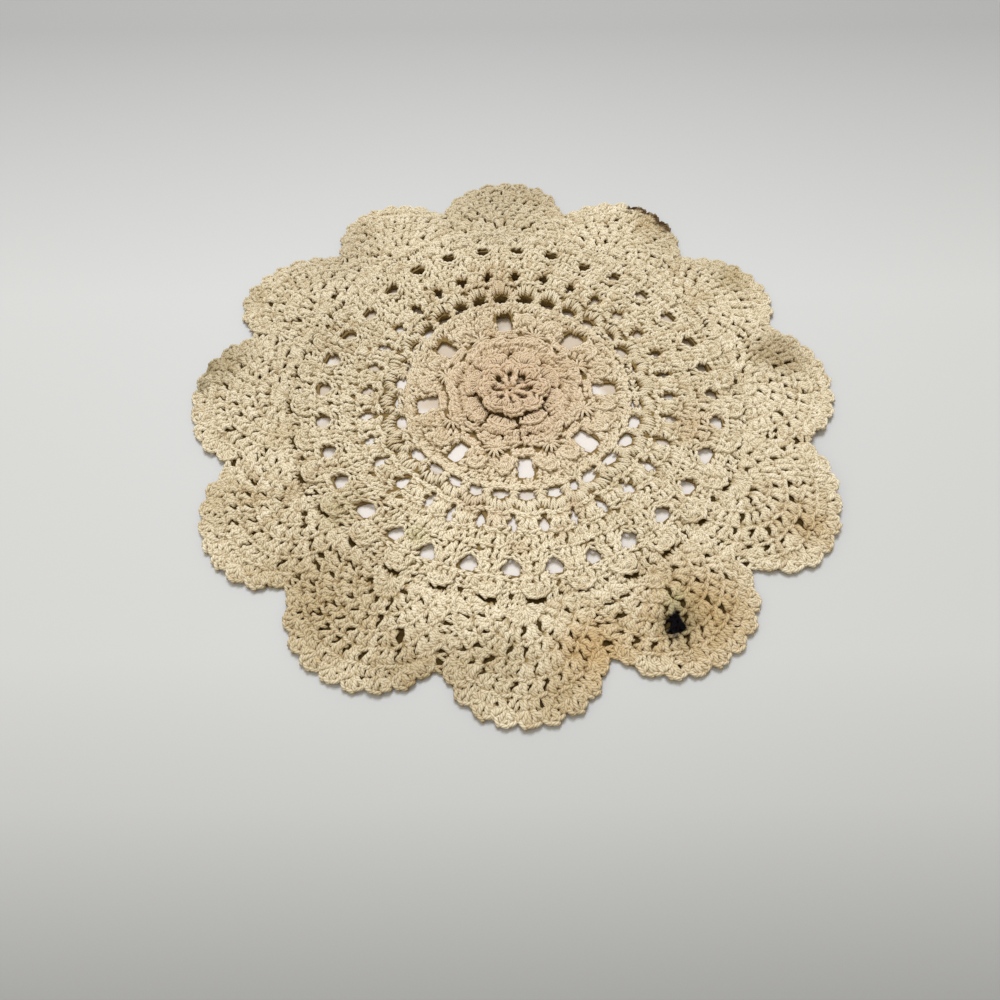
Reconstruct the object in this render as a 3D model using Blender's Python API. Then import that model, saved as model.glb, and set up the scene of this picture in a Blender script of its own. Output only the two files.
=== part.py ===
"""Round crochet lace doily in cotton thread, 240 mm across, laid flat.

One worked piece: a raised rose in the middle, a ring of eight windows, three rings of
thirty-two gaps, and twelve scallops edged with nine small lobes each. The whole mat is
one solid. Its underside is flat apart from a few places where the cloth rises.
"""

import math

import bpy
from mathutils import Vector
from mathutils.geometry import delaunay_2d_cdt

# ---- driving dimensions, metres ------------------------------------------------------
VALLEY_R = 0.107  # middle of the mat to the notch between two scallops
THICK = 0.0022  # worked thread, laid flat
LOBES = 9  # small edging lobes on one scallop
LOBE_STEPS = 5  # points along one lobe
LOBE_HIGH = 0.0015  # how far a lobe stands out
SCALLOP_BOW = 2.2  # how square-shouldered a scallop is: 2 is a parabola
GRID = 0.0050  # spacing of the points that carry the top's relief
CLEAR = 0.0016  # least room between those points and a rim
ROSE_UPPER = 0.0063  # tops of the rose's layers above the table
ROSE_LOWER = 0.0047
ROSE_COLLAR = 0.0033
ROSE_HUB = 0.0040
STEP = 0.00025  # half the width of the fall from one layer to the next
LIFT_SLACK = 0.0004  # the cloth thickens this much before its underside leaves the table

# ---- twelve scallops: where each starts, its notch, and its tip ----------------------
# start: angle of the notch before it, degrees; notch, tip: radii over VALLEY_R;
# lean: how far the tip sits off the middle, as a share of half the scallop
SCALLOPS = (
    # start, notch, tip, lean
    (-13.0, 1.019, 1.118, 0.05),
    (17.0, 0.994, 1.098, 0.10),
    (45.0, 0.969, 1.120, 0.00),
    (76.0, 0.975, 1.146, 0.00),
    (107.0, 1.015, 1.136, 0.05),
    (135.0, 0.996, 1.130, 0.15),
    (164.5, 1.013, 1.122, -0.10),
    (197.5, 1.009, 1.128, 0.00),
    (227.0, 1.008, 1.138, -0.05),
    (257.0, 1.011, 1.130, 0.00),
    (285.5, 0.987, 1.120, 0.00),
    (316.0, 0.996, 1.136, -0.05),
)

# ---- rings of gaps -------------------------------------------------------------------
# count; first: angle of one gap, degrees; radius, width, height: over VALLEY_R
RINGS = (
    # name, count, first, radius, width, height
    ("window", 8, 4.0, 0.312, 0.056, 0.080),
    ("arch", 32, 4.0, 0.415, 0.063, 0.038),
    ("drop", 32, 9.4, 0.522, 0.038, 0.059),
    ("kite", 32, 9.75, 0.662, 0.061, 0.055),
)
# Corners of each kind of gap, over half its width (along the round) and half its height
# (outwards).
SHAPES = {
    "window": ((-0.8, -1), (0.8, -1), (1, -0.6), (1, 0.6), (0.7, 1), (-0.7, 1), (-1, 0.6),
               (-1, -0.6)),
    "arch": ((-0.95, -0.8), (0, -1), (0.95, -0.8), (1, -0.2), (0.7, 0.55), (0, 1),
             (-0.7, 0.55), (-1, -0.2)),
    "drop": ((0, -1), (0.55, -0.5), (0.95, 0.3), (0.8, 0.85), (0, 1), (-0.8, 0.85),
             (-0.95, 0.3), (-0.55, -0.5)),
    "kite": ((-0.3, -1), (0.3, -1), (0.75, -0.3), (1, 0.5), (0.6, 0.95), (-0.6, 0.95),
             (-1, 0.5), (-0.75, -0.3)),
}

# ---- how the loose rounds lie on the table -------------------------------------------
# The middle has turned a little: mean and swing of the turn, degrees, and the side where
# it is greatest. The turn fades out between two radii.
TURN_MEAN, TURN_SWING, TURN_SIDE = 1.3, 2.6, 195.0
TURN_FADE = (0.33, 0.42)
# Pulls that shift a patch of cloth: where it is, how far it reaches, and the shift along
# X and Y; all but the angle over VALLEY_R.
PULLS = (
    # angle, radius, reach, along X, along Y
    (20.0, 0.60, 0.15, 0.003, -0.036),
    (28.0, 0.42, 0.08, 0.016, 0.006),
    (68.0, 0.68, 0.08, 0.003, -0.030),
    (98.0, 0.42, 0.09, -0.014, -0.004),
    (146.0, 0.66, 0.11, 0.018, -0.028),
    (170.0, 0.48, 0.15, 0.020, -0.006),
    (198.0, 0.64, 0.12, 0.014, -0.012),
    (196.0, 0.40, 0.07, 0.008, -0.014),
    (229.0, 0.62, 0.07, 0.026, -0.006),
    (234.0, 0.50, 0.08, 0.026, 0.000),
    (262.0, 0.54, 0.07, 0.006, 0.014),
    (288.0, 0.41, 0.05, 0.018, 0.000),
    (307.0, 0.42, 0.05, -0.022, -0.016),
    (300.0, 0.66, 0.11, -0.015, -0.010),
    (338.0, 0.46, 0.09, 0.012, 0.002),
    (346.0, 0.68, 0.08, 0.028, 0.014),
)

# ---- places where the cloth rises off the table --------------------------------------
# angle, degrees; radius over VALLEY_R; height and reach, metres
LIFTS = (
    # angle, radius, height, reach
    (97.0, 0.50, 0.0030, 0.018),
    (120.0, 0.62, 0.0020, 0.018),
    (72.0, 0.60, 0.0018, 0.016),
    (206.0, 0.80, 0.0016, 0.010),
    (160.0, 0.84, 0.0014, 0.012),
    (343.0, 1.02, 0.0024, 0.014),
    (12.0, 0.62, 0.0016, 0.014),
    (305.0, 0.80, 0.0012, 0.012),
)


def at(angle, radius):
    """The point at an angle in degrees and a radius in metres."""
    return (radius * math.cos(math.radians(angle)), radius * math.sin(math.radians(angle)))


def settled(angle, radius):
    """Where a point of the even pattern lies once the rounds are turned and pulled."""
    low, high = TURN_FADE
    fade = max(0.0, min(1.0, (radius - low) / (high - low)))
    fade = 1 - fade * fade * (3 - 2 * fade)
    angle += fade * (TURN_MEAN + TURN_SWING * math.cos(math.radians(angle - TURN_SIDE)))
    x, y = at(angle, radius)
    dx = dy = 0.0
    for side, out, reach, along_x, along_y in PULLS:
        px, py = at(side, out)
        part = math.exp(-((x - px) ** 2 + (y - py) ** 2) / (2 * reach**2))
        dx += along_x * part
        dy += along_y * part
    return ((x + dx) * VALLEY_R, (y + dy) * VALLEY_R)


def outline():
    """The scalloped rim, lobe by lobe, counter-clockwise."""
    rim = []
    for i, (start, notch, tip, lean) in enumerate(SCALLOPS):
        nxt = SCALLOPS[(i + 1) % len(SCALLOPS)]
        end, far_notch = nxt[0] + (360 if i + 1 == len(SCALLOPS) else 0), nxt[1]
        steps = LOBES * LOBE_STEPS
        for k in range(steps):
            t = 2 * k / steps - 1
            off = abs(t - lean) / (1 - lean if t > lean else 1 + lean)
            low = far_notch if t > lean else notch
            r = VALLEY_R * (tip - (tip - low) * off**SCALLOP_BOW)
            lobe = abs(math.sin(math.pi * k / LOBE_STEPS))
            r += LOBE_HIGH * (lobe - 0.6)
            rim.append(at(start + (end - start) * k / steps, r))
    return rim


def gaps():
    """Every cut-through gap, as a loop of corners."""
    loops = []
    for number, (name, count, first, radius, width, height) in enumerate(RINGS):
        for k in range(count):
            # hand work: no two gaps are quite alike
            wide = 1 + 0.10 * math.sin(2.1 * k + number)
            tall = 1 + 0.10 * math.sin(3.7 * k + 2 * number)
            turn = 0.12 * math.sin(1.3 * k + number)
            mid = first + 360 * k / count
            loop = []
            for u, v in SHAPES[name]:
                u, v = u * wide * width / 2, v * tall * height / 2
                c, s = math.cos(turn), math.sin(turn)
                u, v = u * c - v * s, u * s + v * c
                loop.append(settled(mid + math.degrees(u / (radius + v)), radius + v))
            loops.append(loop)
    return loops


def lift(x, y):
    """How far the cloth rises here."""
    total = 0.0
    for angle, radius, height, reach in LIFTS:
        cx, cy = at(angle, radius * VALLEY_R)
        total += height * math.exp(-((x - cx) ** 2 + (y - cy) ** 2) / (2 * reach**2))
    return total


def petal_edge(angle, mean, depth, turn):
    """Radius of a ring of eight rounded petals."""
    return VALLEY_R * (mean + depth * (abs(math.cos(math.radians(4 * (angle - turn)))) - 0.64))


UPPER = (0.122, 0.020, 4.0)
LOWER = (0.166, 0.014, 26.5)
COLLAR = (0.236, 0.022, 26.5)


def top(x, y):
    """Height of the top face."""
    r, angle = math.hypot(x, y), math.degrees(math.atan2(y, x))
    rise = lift(x, y)
    upper, lower = petal_edge(angle, *UPPER), petal_edge(angle, *LOWER)
    collar = petal_edge(angle, *COLLAR)
    if r < 0.062 * VALLEY_R:
        base = ROSE_HUB
    elif r < 0.075 * VALLEY_R:
        base = ROSE_HUB + 0.0010
    elif r < upper:
        base = ROSE_UPPER - 0.0007 * ((r - 0.098 * VALLEY_R) / (0.03 * VALLEY_R)) ** 2
    elif r < lower:
        base = ROSE_LOWER - 0.0004 * (r - upper) / (lower - upper)
    elif r < collar:
        base = ROSE_COLLAR - 0.0004 * (r - lower) / (collar - lower)
    else:
        base = THICK
    return base + rise


def bottom(x, y):
    """Height of the underside: on the table, except under the highest places."""
    return max(0.0, lift(x, y) - LIFT_SLACK)


def rose_points():
    """Points for the rose: its hub, and both sides of each fall between layers."""
    points = [at(22.5 * k, 0.030 * VALLEY_R) for k in range(16)] + [(0.0, 0.0)]
    points += [at(12 * k, 0.0605 * VALLEY_R) for k in range(30)]
    points += [at(12 * k, 0.0655 * VALLEY_R) for k in range(30)]
    points += [at(10 * k, 0.080 * VALLEY_R) for k in range(36)]
    points += [at(7.5 * k, 0.098 * VALLEY_R) for k in range(48)]
    for layer, count in ((UPPER, 80), (LOWER, 80), (COLLAR, 96)):
        for side in (-STEP, STEP):
            for k in range(count):
                a = 360 * (k + 0.5) / count
                points.append(at(a, petal_edge(a, *layer) + side))
    for radius, count in ((0.146, 40), (0.186, 48), (0.208, 56)):
        points += [at(360 * k / count, radius * VALLEY_R) for k in range(count)]
    return points


def cloth_points():
    """Rings of points over the rest of the mat."""
    points = []
    rings = int(1.1 * VALLEY_R / GRID)
    for i in range(rings):
        r = 0.268 * VALLEY_R + i * GRID
        count = max(8, round(2 * math.pi * r / (1.12 * GRID)))
        points += [at(360 * (k + 0.5 * (i % 2)) / count, r) for k in range(count)]
    return points


def within(x, y, loop):
    """True where a point is inside a closed loop."""
    inside = False
    for (ax, ay), (bx, by) in zip(loop, loop[1:] + loop[:1]):
        if (ay > y) != (by > y) and x < ax + (y - ay) * (bx - ax) / (by - ay):
            inside = not inside
    return inside


def room(x, y, loop):
    """Distance from a point to a closed loop."""
    best = 1.0
    for (ax, ay), (bx, by) in zip(loop, loop[1:] + loop[:1]):
        dx, dy = bx - ax, by - ay
        t = max(0.0, min(1.0, ((x - ax) * dx + (y - ay) * dy) / (dx * dx + dy * dy)))
        best = min(best, math.hypot(x - ax - t * dx, y - ay - t * dy))
    return best


def near(x, y, loop):
    """True where a loop's box comes close enough to matter."""
    xs, ys = [p[0] for p in loop], [p[1] for p in loop]
    return (min(xs) - 2 * CLEAR < x < max(xs) + 2 * CLEAR
            and min(ys) - 2 * CLEAR < y < max(ys) + 2 * CLEAR)


def free(x, y, rim, holes):
    """True for a point on cloth with room around it."""
    if not within(x, y, rim) or room(x, y, rim) < CLEAR:
        return False
    return not any(near(x, y, h) and (within(x, y, h) or room(x, y, h) < CLEAR) for h in holes)


def sheet(rim, holes, extra):
    """Triangles over the cloth: rim and gaps as edges, extra points inside."""
    points, edges = [], []
    for loop in [rim] + holes:
        first = len(points)
        points += loop
        edges += [(first + k, first + (k + 1) % len(loop)) for k in range(len(loop))]
    bounds = len(points)
    points += extra
    verts, _, faces, *_ = delaunay_2d_cdt([Vector(p) for p in points], edges, [], 0, 1e-7)
    if len(verts) != len(points):
        raise SystemExit("a point was merged or added: %d of %d" % (len(verts), len(points)))
    kept = []
    for face in faces:
        x = sum(verts[v].x for v in face) / 3
        y = sum(verts[v].y for v in face) / 3
        if within(x, y, rim) and not any(near(x, y, h) and within(x, y, h) for h in holes):
            kept.append(tuple(face))
    return points, kept, edges, bounds


def doily_mesh():
    """One closed skin: top, underside, and the walls of the rim and of every gap."""
    rim, holes = outline(), gaps()
    cloth = [p for p in cloth_points() if free(p[0], p[1], rim, holes)]
    points, up, edges, bounds = sheet(rim, holes, rose_points() + cloth)
    verts = [(x, y, top(x, y)) for x, y in points]
    # under the cloth a wider grid is enough
    low = [p for k, p in enumerate(cloth) if k % 3 == 0] + [(0.0, 0.0)]
    low += [at(45 * k, 0.15 * VALLEY_R) for k in range(8)]
    under, down, _, _ = sheet(rim, holes, low)
    base = len(verts)
    verts += [(x, y, bottom(x, y)) for x, y in under]
    # the origin is the middle of the mat's box, on the table
    mid = [(min(p[i] for p in rim) + max(p[i] for p in rim)) / 2 for i in (0, 1)]
    verts = [(x - mid[0], y - mid[1], z) for x, y, z in verts]
    print("middle of the rose: %.5f, %.5f" % (-mid[0], -mid[1]))
    faces = list(up) + [tuple(base + v for v in reversed(face)) for face in down]
    # walls: the rim runs counter-clockwise and the gaps clockwise, cloth always on the left
    for a, b in edges:
        faces += [(base + a, base + b, b), (base + a, b, a)]
    mesh = bpy.data.meshes.new("doily")
    mesh.from_pydata(verts, [], faces)
    mesh.update()
    print("doily:", len(verts), "points,", len(faces), "triangles,", len(holes), "gaps")
    return mesh


for old in list(bpy.data.objects):
    bpy.data.objects.remove(old)

cotton = bpy.data.materials.new("cotton")
cotton.use_nodes = True
shader = cotton.node_tree.nodes["Principled BSDF"]
shader.inputs["Base Color"].default_value = (0.62, 0.54, 0.37, 1.0)
shader.inputs["Roughness"].default_value = 0.9

doily = bpy.data.objects.new("doily", doily_mesh())
doily.data.materials.append(cotton)
bpy.context.collection.objects.link(doily)
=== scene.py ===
# %% [markdown]
# # A crochet doily, stitch by stitch
# A crochet doily is one long cotton thread looped into rounds of stitches. Its look comes
# from that thread: thousands of fat little strands, the dark dimples between them, and the
# bigger gaps that the pattern leaves open. A flat disc with stitches painted on it would
# lose all of that as soon as the light came from the side. So here every stitch is a handful
# of short thread paths, and one Geometry Nodes tree sweeps a round section along all of them.

# %% Load the frame
import math

import bmesh
import bpy
import numpy as np
from mathutils import Matrix, Vector


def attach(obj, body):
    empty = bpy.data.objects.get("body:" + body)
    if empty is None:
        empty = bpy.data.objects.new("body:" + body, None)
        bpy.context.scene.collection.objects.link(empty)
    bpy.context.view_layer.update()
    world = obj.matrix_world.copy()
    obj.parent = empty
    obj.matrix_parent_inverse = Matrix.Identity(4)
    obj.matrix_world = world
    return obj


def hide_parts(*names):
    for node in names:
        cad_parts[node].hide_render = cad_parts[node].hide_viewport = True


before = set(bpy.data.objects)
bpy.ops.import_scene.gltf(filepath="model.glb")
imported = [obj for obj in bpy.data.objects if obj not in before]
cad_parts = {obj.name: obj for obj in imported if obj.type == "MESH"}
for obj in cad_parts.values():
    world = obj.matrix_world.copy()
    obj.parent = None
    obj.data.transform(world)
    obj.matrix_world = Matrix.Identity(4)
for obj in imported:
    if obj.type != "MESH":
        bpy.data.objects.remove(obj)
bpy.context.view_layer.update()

# %% [markdown]
# ## One unit for the whole pattern
# The pattern could be written in metres, but it is easier to read in shares of its own
# size. Here 1 is the distance from the middle to a notch between two scallops, and only
# `place` turns it into metres.

# %% Driving sizes
MM = 0.001
UNIT = 0.107  # metres from the middle to a notch
MIDDLE = np.array([0.00023, -0.00085])  # the middle of the rounds in the frame, metres
THREAD = 0.60 * MM  # half the thickness of the thread
rng = np.random.default_rng(7)
print("metres to a notch:", UNIT, "thread's radius:", THREAD)

# %% [markdown]
# ## A hand-made outline
# The chart is perfectly regular: twelve equal scallops, thirty-two equal fans. The real mat
# was worked and washed by hand, so its notches are not evenly spaced and no two scallops
# reach equally far. Inside, the loose rounds are pulled this way and that. Each stitch could
# be placed where it lies. But it is easier to draw them all on the chart and to bend that
# with `place`, so no stitch has to know about the bend.

# %% The twelve scallops, and the pulls inside them
SCALLOPS = np.array([
    # notch angle, notch radius, tip radius, lean of the tip
    (-13.0, 1.006, 1.118, 0.05),
    (17.0, 1.006, 1.098, -0.10),
    (45.0, 0.950, 1.120, 0.00),
    (76.0, 0.965, 1.146, -0.08),
    (107.0, 0.998, 1.128, 0.05),
    (135.0, 0.972, 1.130, 0.18),
    (164.5, 1.004, 1.122, -0.06),
    (197.5, 1.000, 1.128, 0.00),
    (227.0, 1.008, 1.138, -0.05),
    (257.0, 1.011, 1.130, 0.00),
    (285.5, 0.987, 1.120, 0.00),
    (316.0, 0.984, 1.136, -0.20),
])
FIRST = -13.8  # the chart's first notch, degrees
SECTOR = 30  # degrees from one of the chart's notches to the next
TIP, BOW = 1.125, 2.2  # radius of the chart's tips, and how square its scallops are
PULLS = (
    # angle in degrees; radius, reach, shift to the right and shift away in units
    (0.0, 0.00, 0.08, -0.014, -0.012),
    (20.0, 0.60, 0.15, 0.003, -0.036),
    (28.0, 0.42, 0.08, 0.016, 0.006),
    (68.0, 0.68, 0.08, 0.003, -0.030),
    (98.0, 0.42, 0.09, -0.014, -0.004),
    (146.0, 0.66, 0.11, 0.018, -0.028),
    (170.0, 0.48, 0.15, 0.020, -0.006),
    (198.0, 0.64, 0.12, 0.014, -0.012),
    (196.0, 0.40, 0.07, 0.008, -0.014),
    (229.0, 0.62, 0.07, 0.026, -0.006),
    (234.0, 0.50, 0.08, 0.026, 0.000),
    (262.0, 0.54, 0.07, 0.006, 0.014),
    (288.0, 0.41, 0.05, 0.018, 0.000),
    (307.0, 0.42, 0.05, -0.022, -0.016),
    (300.0, 0.66, 0.11, -0.015, -0.010),
    (338.0, 0.46, 0.09, 0.012, 0.002),
    (346.0, 0.68, 0.08, 0.028, 0.014),
)
print("scallops:", len(SCALLOPS), "pulls:", len(PULLS))


# %% From the chart to the frame
NOTCH_PULL = 0.70, 0.95  # radii between which the real notches begin to tell
RIM_PULL = 0.74, 1.0  # radii between which the real rim begins to tell
ROSE_RIM = 0.33, 0.42  # radii between which the rose's own turn ends
ROSE_TURN, ROSE_WARP, ROSE_WARP_AT = 1.3, 2.6, 195  # degrees that it turned, and where most
TIGHT, TIGHTER = 0.006, 0.014  # how much the rim is drawn in, and more so on the far side
SWAY = 0.006  # how far the rounds sway, units


def smooth(x, a, b):
    """0 below a, 1 above b, and a soft step between."""
    t = np.clip((x - a) / (b - a), 0, 1)
    return t * t * (3 - 2 * t)


def place(points):
    """Chart positions (..., 2) as x and y in metres, bent to the real outline."""
    x, y = points[..., 0], points[..., 1]
    r = np.hypot(x, y)
    a = np.degrees(np.arctan2(y, x))
    turn = np.floor((a - FIRST) / SECTOR)
    t = (a - FIRST) / SECTOR - turn
    k = turn.astype(int) % 12
    here, after = SCALLOPS[k], SCALLOPS[(k + 1) % 12]
    end = after[..., 0] + np.where(k == 11, 360, 0)
    bent = here[..., 0] + t * (end - here[..., 0])
    plain = FIRST + SECTOR * (k + t)
    # only the outer rounds follow the real notches
    a = a + (bent - plain) * smooth(r, *NOTCH_PULL)
    # the rose and its windows turned a few degrees as the mat dried
    turned = ROSE_TURN + ROSE_WARP * np.cos(np.radians(a - ROSE_WARP_AT))
    a = a + turned * (1 - smooth(r, *ROSE_RIM))
    # from the chart's rim to the real one, whose tips lean
    s, lean = 2 * t - 1, here[..., 3]
    off = np.abs(s - lean) / np.where(s > lean, 1 - lean, 1 + lean)
    low = np.where(s > lean, after[..., 1], here[..., 1])
    real = here[..., 2] - (here[..., 2] - low) * off**BOW
    chart = TIP - (TIP - 1) * np.abs(s) ** BOW
    r = r * (1 + smooth(r, *RIM_PULL) * (real / chart - 1))
    a = np.radians(a)
    # the far rim was left a little tighter than the near one
    r = r * (1 - smooth(r, 0.85, 1.05) * (TIGHT + TIGHTER * np.sin(a)))
    x, y = r * np.cos(a), r * np.sin(a)
    dx, dy = 0.0 * x, 0.0 * y
    for angle, radius, reach, right, away in PULLS:
        px, py = radius * math.cos(math.radians(angle)), radius * math.sin(math.radians(angle))
        part = np.exp(-((x - px) ** 2 + (y - py) ** 2) / (2 * reach**2))
        dx, dy = dx + right * part, dy + away * part
    # between the gaps and the rim the rounds sway a little
    loose = SWAY * smooth(r, 0.70, 0.82) * (1 - 0.8 * smooth(r, 0.92, 1.04))
    dx = dx + loose * (np.sin(17 * y + 3 * x + 0.6) + 0.6 * np.sin(31 * x - 11 * y + 2.1))
    dy = dy + loose * (np.sin(15 * x - 4 * y + 1.9) + 0.6 * np.sin(29 * y + 13 * x + 0.3))
    return np.stack([x + dx, y + dy], -1) * UNIT + MIDDLE


print("the chart's middle lands at", place(np.zeros(2)))

# %% [markdown]
# ## Where the cloth rises
# Laid on a table, the mat still ripples a little. A cloth simulation would ripple it too, but
# not where it should. A few soft hills are put there one by one, and every stitch rides on them.

# %% The hills
LIFTS = (
    # angle, radius in units, height and reach in metres
    (97.0, 0.50, 0.0030, 0.018),
    (120.0, 0.62, 0.0020, 0.018),
    (72.0, 0.60, 0.0018, 0.016),
    (206.0, 0.80, 0.0016, 0.010),
    (160.0, 0.84, 0.0014, 0.012),
    (343.0, 1.02, 0.0024, 0.014),
    (12.0, 0.62, 0.0016, 0.014),
    (305.0, 0.80, 0.0012, 0.012),
)


def rise(xy):
    """How far the cloth rises at frame positions (..., 2), in metres."""
    total = np.zeros(xy.shape[:-1])
    for angle, radius, height, reach in LIFTS:
        a = math.radians(angle)
        hill = np.array([math.cos(a), math.sin(a)]) * radius * UNIT + MIDDLE
        total += height * np.exp(-((xy - hill) ** 2).sum(-1) / (2 * reach**2))
    return total


print("hills:", len(LIFTS))

# %% [markdown]
# ## Stitches as short thread paths
# A tall stitch (a treble) shows two upright legs, one turn of thread slung across them, and
# a V on top that joins its neighbours into a braid. A short stitch over a loop shows one
# fat strand. A modelled stitch could be copied into place, but its thread would swell or
# thin out wherever it is stretched. So each is written once as paths, in a cell one wide
# and one high, with heights in millimetres, and stamped on hundreds of cells at a time.

# %% Stitch shapes
# A strand is (points, girth), and a point is across, up, height in millimetres.
# the two legs of a tall stitch
LEGS = (
    (((-0.08, -0.12, 0.35), (-0.27, 0.20, 1.10), (-0.13, 0.56, 1.30), (-0.30, 0.92, 0.80)), 1),
    (((0.14, -0.10, 0.30), (0.25, 0.26, 1.10), (0.13, 0.62, 1.25), (0.28, 0.94, 0.75)), 1),
)
# the turn of thread slung across them
SLING = (
    (((-0.54, 0.16, 0.30), (-0.24, 0.34, 1.65), (0.22, 0.56, 1.78), (0.52, 0.74, 0.35)), 1),
)
# the V on top
TOPS = (
    (((-0.62, 0.86, 0.40), (-0.32, 1.02, 1.40), (0.04, 1.10, 1.30), (0.30, 1.00, 0.45)), 1),
    (((-0.20, 0.94, 0.40), (0.14, 0.88, 1.35), (0.46, 1.00, 1.35), (0.66, 1.16, 0.45)), 1),
)
STEM = LEGS + SLING
TREBLE = STEM + TOPS
# a short stitch: two bent strands and one side of the V
SHORT = (
    (((-0.30, -0.10, 0.35), (-0.30, 0.30, 1.35), (0.02, 0.62, 1.45), (0.10, 0.90, 0.50)), 1),
    (((0.24, -0.10, 0.30), (0.30, 0.34, 1.20), (0.12, 0.70, 1.25), (0.30, 1.00, 0.50)), 1),
) + TOPS[:1]
# a link of a braid
CHAIN = (
    (((-0.62, 0.30, 0.35), (-0.25, 0.24, 1.35), (0.22, 0.02, 1.45), (0.52, -0.16, 0.55)), 1),
    (((-0.62, -0.34, 0.35), (-0.22, -0.30, 1.40), (0.22, -0.14, 1.35), (0.56, 0.10, 0.55)), 1),
)
# a plumper link, for an edge
RIM = (
    (((-0.60, 0.26, 0.55), (-0.24, 0.30, 1.40), (0.24, 0.18, 1.50), (0.60, -0.02, 0.80)), 1),
    (((-0.60, -0.30, 0.45), (-0.22, -0.34, 1.15), (0.26, -0.28, 1.25), (0.60, -0.14, 0.65)), 1),
)
# two long strands that lean apart
TWIN = (
    (((-0.05, -0.06, 0.35), (-0.10, 0.20, 1.30), (-0.20, 0.62, 1.55), (-0.34, 1.02, 0.60)), 1),
    (((0.10, -0.04, 0.30), (0.16, 0.26, 1.20), (0.20, 0.66, 1.45), (0.28, 1.04, 0.55)), 1),
)
# two strands wound round each other
SPOKE = (
    (((-0.30, -0.06, 0.35), (0.12, 0.22, 1.45), (-0.26, 0.60, 1.30), (0.16, 1.02, 0.70)), 1),
    (((0.30, -0.04, 0.30), (-0.16, 0.26, 1.15), (0.28, 0.64, 1.45), (-0.10, 1.04, 0.60)), 1),
)
# one stout leg, with a turn across it and another over its head
POST = (
    (((-0.04, -0.14, 0.30), (-0.18, 0.22, 1.20), (0.14, 0.58, 1.40), (0.00, 0.96, 0.75)), 1.25),
    (((-0.58, 0.26, 0.35), (-0.20, 0.42, 1.60), (0.26, 0.56, 1.65), (0.58, 0.70, 0.40)), 0.90),
    (((-0.60, 0.88, 0.40), (-0.28, 1.04, 1.50), (0.24, 1.06, 1.45), (0.60, 0.90, 0.45)), 0.95),
)
# one fat strand drawn over a loop
COIL = (
    (((0, -0.06, 0.35), (0, 0.12, 1.20), (0, 0.50, 1.70), (0, 0.88, 1.30),
      (0, 1.04, 0.45)), 1),
)
print("strands: treble", len(TREBLE), "short", len(SHORT), "post", len(POST), "link", len(CHAIN))

# %% Working a shape on many cells at once
SHAKE = np.array([0.055, 0.045, 0.09])  # how much a strand's point strays in its cell
FOOT_STRAY, HEAD_STRAY = 0.0026, 0.0034  # how far a cell's two ends stray, units
WIDTH_STRAY, HEIGHT_STRAY = 0.07, 0.16  # share of its width, and millimetres of its height
OVERLAP = 1.04  # length of a link in steps of its braid
TINY = 1e-9  # keeps a length from being zero


class Thread:
    """Collects thread paths for one piece."""

    def __init__(self):
        self.paths = []

    def stamp(self, shape, base, top, wide, wide_top=None, up=0.0, girth=1.0, wild=1.0):
        """Works one shape on each cell from base to top, in chart units; wild: how unevenly."""
        base, top = np.atleast_2d(base).astype(float), np.atleast_2d(top).astype(float)
        count = len(base)
        base = base + rng.normal(0, FOOT_STRAY * wild, base.shape)
        top = top + rng.normal(0, HEAD_STRAY * wild, top.shape)
        wide = np.broadcast_to(wide, count) * (1 + rng.normal(0, WIDTH_STRAY * wild, count))
        wide_top = wide if wide_top is None else np.broadcast_to(wide_top, count)
        tall = top - base
        side = np.stack([tall[:, 1], -tall[:, 0]], -1)
        side /= np.linalg.norm(side, axis=-1, keepdims=True) + TINY
        up = np.broadcast_to(up, count) + rng.normal(0, HEIGHT_STRAY * wild, count)
        tone = rng.random(count)
        for points, stout in shape:
            # no two strands bend quite alike
            bent = np.array(points) + rng.normal(0, 1, (count, len(points), 3)) * SHAKE * wild
            u, v, deep = bent[..., 0], bent[..., 1], bent[..., 2]
            width = wide[:, None] + (wide_top - wide)[:, None] * v
            middle_line = base[:, None] + tall[:, None] * v[..., None]
            flat = middle_line + side[:, None] * (u * width)[..., None]
            high = deep + up[:, None]
            path = np.concatenate([flat, high[..., None], deep[..., None]], -1)
            self.paths.append((path, girth * stout, tone))

    def braid(self, line, wide, up=0.0, girth=1.0, shape=CHAIN, wild=0.6):
        """A chain of V links along chart points (n, 2): one link between each two."""
        a, b = line[:-1], line[1:]
        along = b - a
        long = np.linalg.norm(along, axis=-1, keepdims=True)
        out = np.stack([along[:, 1], -along[:, 0]], -1) / (long + TINY)
        mid = (a + b) / 2
        # a link's cell: across runs along the line, up runs outwards over `wide`
        self.stamp(shape, mid, mid + out * wide, long[:, 0] * OVERLAP, up=up, girth=girth,
                   wild=wild)


print("a strand's point strays in its cell by", SHAKE)


# %% Places on the chart
def polar(angle, radius):
    """Chart points from angles in degrees and radii."""
    a = np.radians(angle) + 0 * np.asarray(radius, float)
    return np.stack([radius * np.cos(a), radius * np.sin(a)], -1)


def ring(radius, count):
    """Chart points evenly spaced on a round, counter-clockwise."""
    return polar(360.0 * np.arange(count) / count, radius)


def closed(points):
    """The same points with the first one added at the end."""
    return np.concatenate([points, points[:1]])


def about(angle, radius, spin, far):
    """Chart points round the one at (angle, radius): spin in degrees from straight out."""
    return polar(angle, radius) + polar(np.asarray(angle + spin, float), far)


STARS = 26.5 + 45 * np.arange(8)  # angles of the stars and of the collar's petals
COLUMNS = 4 + 11.25 * np.arange(32)  # angles of the fans and of the shells above them
print("stars:", len(STARS), "columns:", len(COLUMNS))

# %% [markdown]
# ## Helpers for node trees
# The sweep and the finishes are all node trees. Made by hand, a node takes a line for
# itself, one for each option and one for each link. `add_node` does all three, so a tree
# reads like a recipe.

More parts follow.
